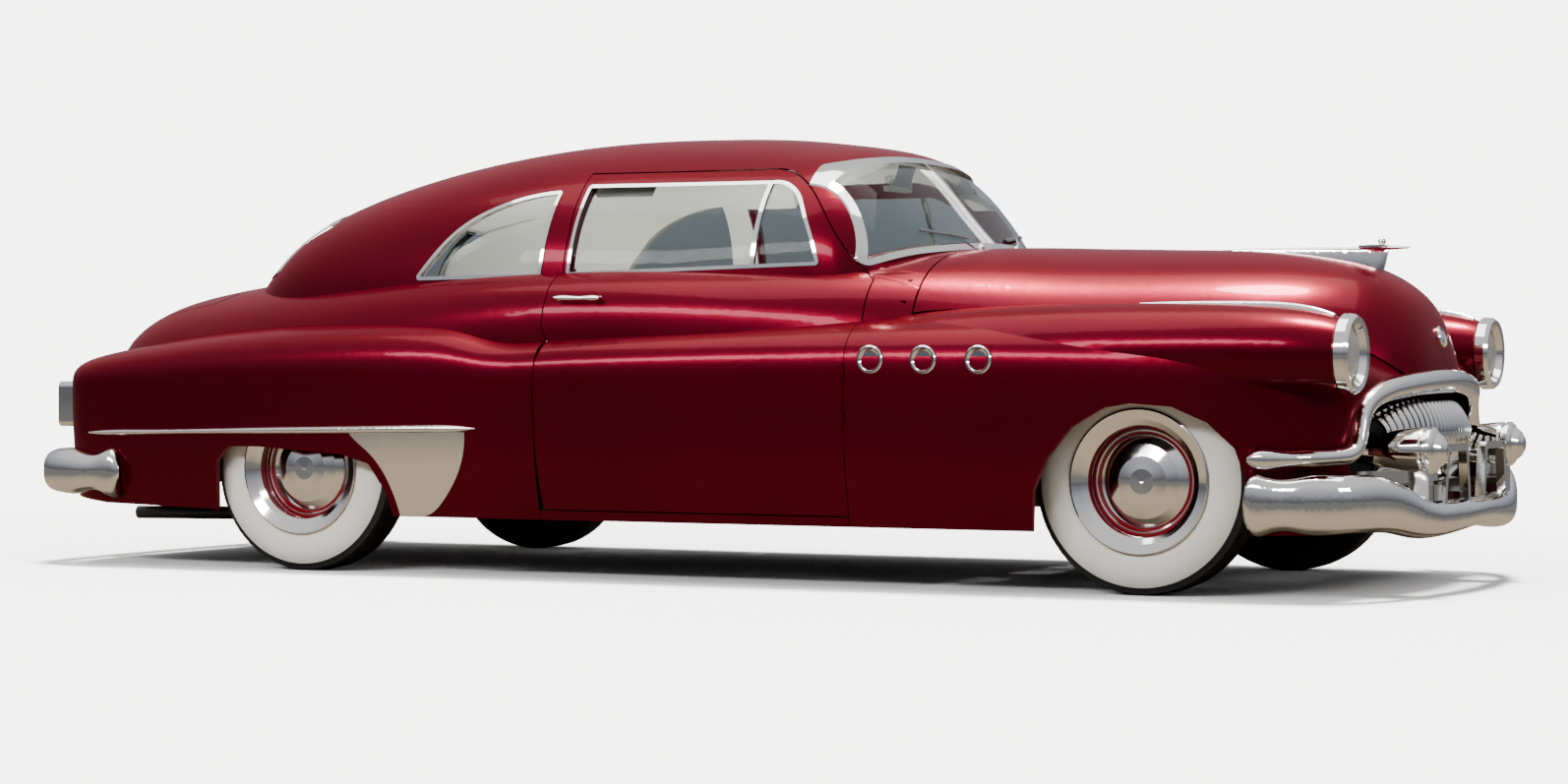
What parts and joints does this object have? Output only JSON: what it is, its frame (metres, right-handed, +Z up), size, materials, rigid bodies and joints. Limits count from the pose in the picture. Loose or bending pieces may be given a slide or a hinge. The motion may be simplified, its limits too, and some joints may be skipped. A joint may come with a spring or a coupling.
{
  "type": "classic sedan car",
  "caption": "Rounded 1950s sedan with pontoon fenders, toothed chrome grille, chrome bumpers and whitewall tyres; wheels, steering, doors, hood and trunk lid move.",
  "frame": {"origin": "on the ground under the middle of the overall length and width", "axes": "+X forwards along the car, +Y to the car's left, +Z up"},
  "size_m": [5.2, 1.9649, 1.5206],
  "materials": {
    "paint": "gloss",
    "chrome": "polished",
    "glass": "clear",
    "tyre": "matte",
    "upholstery": "woven",
    "frame": "satin",
    "iron": "rough",
    "lens": "fluted",
    "red_lens": "fluted",
    "floor": "satin",
    "wheel_paint": "gloss",
    "plastic": "satin"
  },
  "bodies": {
    "body": {"body_shell": "paint", "roof_panel": "paint", "cowl_panel": "paint", "quarter_panels": "paint", "front_fender_right": "paint", "front_fender_left": "paint", "rear_fender_right": "paint", "rear_fender_left": "paint", "fixed_glass": "glass", "frame_chassis": "frame", "suspension": "frame", "rear_axle": "frame", "engine_block": "iron", "radiator": "frame", "fuel_tank": "frame", "exhaust": "frame", "floor_pan": "floor", "dashboard": "paint", "steering_wheel": "plastic", "front_seat": "upholstery", "rear_seat": "upholstery", "bumper_front": "chrome", "bumper_rear": "chrome", "grille": "chrome", "lamp_rims": "chrome", "headlamp_lenses": "lens", "tail_lamps": "red_lens", "side_brightwork": "chrome", "window_frames": "chrome"},
    "hood": {"hood": "paint", "hood_ornament": "chrome"},
    "trunk_lid": {"trunk_lid": "paint"},
    "door_right": {"door_right": "paint", "door_glass_right": "glass", "door_brightwork_right": "chrome"},
    "door_left": {"door_left": "paint", "door_glass_left": "glass", "door_brightwork_left": "chrome"},
    "knuckle_right": {"knuckle_right": "frame"},
    "knuckle_left": {"knuckle_left": "frame"},
    "wheel_front_right": {"wheel_front_right": "wheel_paint", "tyre_front_right": "tyre"},
    "wheel_front_left": {"wheel_front_left": "wheel_paint", "tyre_front_left": "tyre"},
    "wheel_rear_right": {"wheel_rear_right": "wheel_paint", "tyre_rear_right": "tyre"},
    "wheel_rear_left": {"wheel_rear_left": "wheel_paint", "tyre_rear_left": "tyre"}
  },
  "joints": [
    {"name": "steer_right", "type": "hinge", "parent": "body", "child": "knuckle_right", "pos_m": [1.7, -0.66, 0.358], "axis": [0, 0, 1], "range_deg": [-27, 27]},
    {"name": "wheel_front_right_spin", "type": "hinge", "parent": "knuckle_right", "child": "wheel_front_right", "pos_m": [1.7, -0.712, 0.358], "axis": [0, 1, 0], "continuous": true},
    {"name": "wheel_rear_right_spin", "type": "hinge", "parent": "body", "child": "wheel_rear_right", "pos_m": [-1.386, -0.785, 0.358], "axis": [0, 1, 0], "continuous": true},
    {"name": "door_right_hinge", "type": "hinge", "parent": "body", "child": "door_right", "pos_m": [0.748, -0.958, 0.6], "axis": [0, 0, 1], "range_deg": [0, 65]},
    {"name": "steer_left", "type": "hinge", "parent": "body", "child": "knuckle_left", "pos_m": [1.7, 0.66, 0.358], "axis": [0, 0, 1], "range_deg": [-27, 27]},
    {"name": "wheel_front_left_spin", "type": "hinge", "parent": "knuckle_left", "child": "wheel_front_left", "pos_m": [1.7, 0.712, 0.358], "axis": [0, 1, 0], "continuous": true},
    {"name": "wheel_rear_left_spin", "type": "hinge", "parent": "body", "child": "wheel_rear_left", "pos_m": [-1.386, 0.785, 0.358], "axis": [0, 1, 0], "continuous": true},
    {"name": "door_left_hinge", "type": "hinge", "parent": "body", "child": "door_left", "pos_m": [0.748, 0.958, 0.6], "axis": [0, 0, -1], "range_deg": [0, 65]},
    {"name": "hood_hinge", "type": "hinge", "parent": "body", "child": "hood", "pos_m": [0.92, 0.75, 0.896], "axis": [-1, 0, 0], "range_deg": [0, 50]},
    {"name": "trunk_hinge", "type": "hinge", "parent": "body", "child": "trunk_lid", "pos_m": [-1.94, 0, 1], "axis": [0, 1, 0], "range_deg": [0, 65]}
  ],
  "couplings": [
    {"joint": "steer_left", "follows": "steer_right", "ratio": 1}
  ]
}
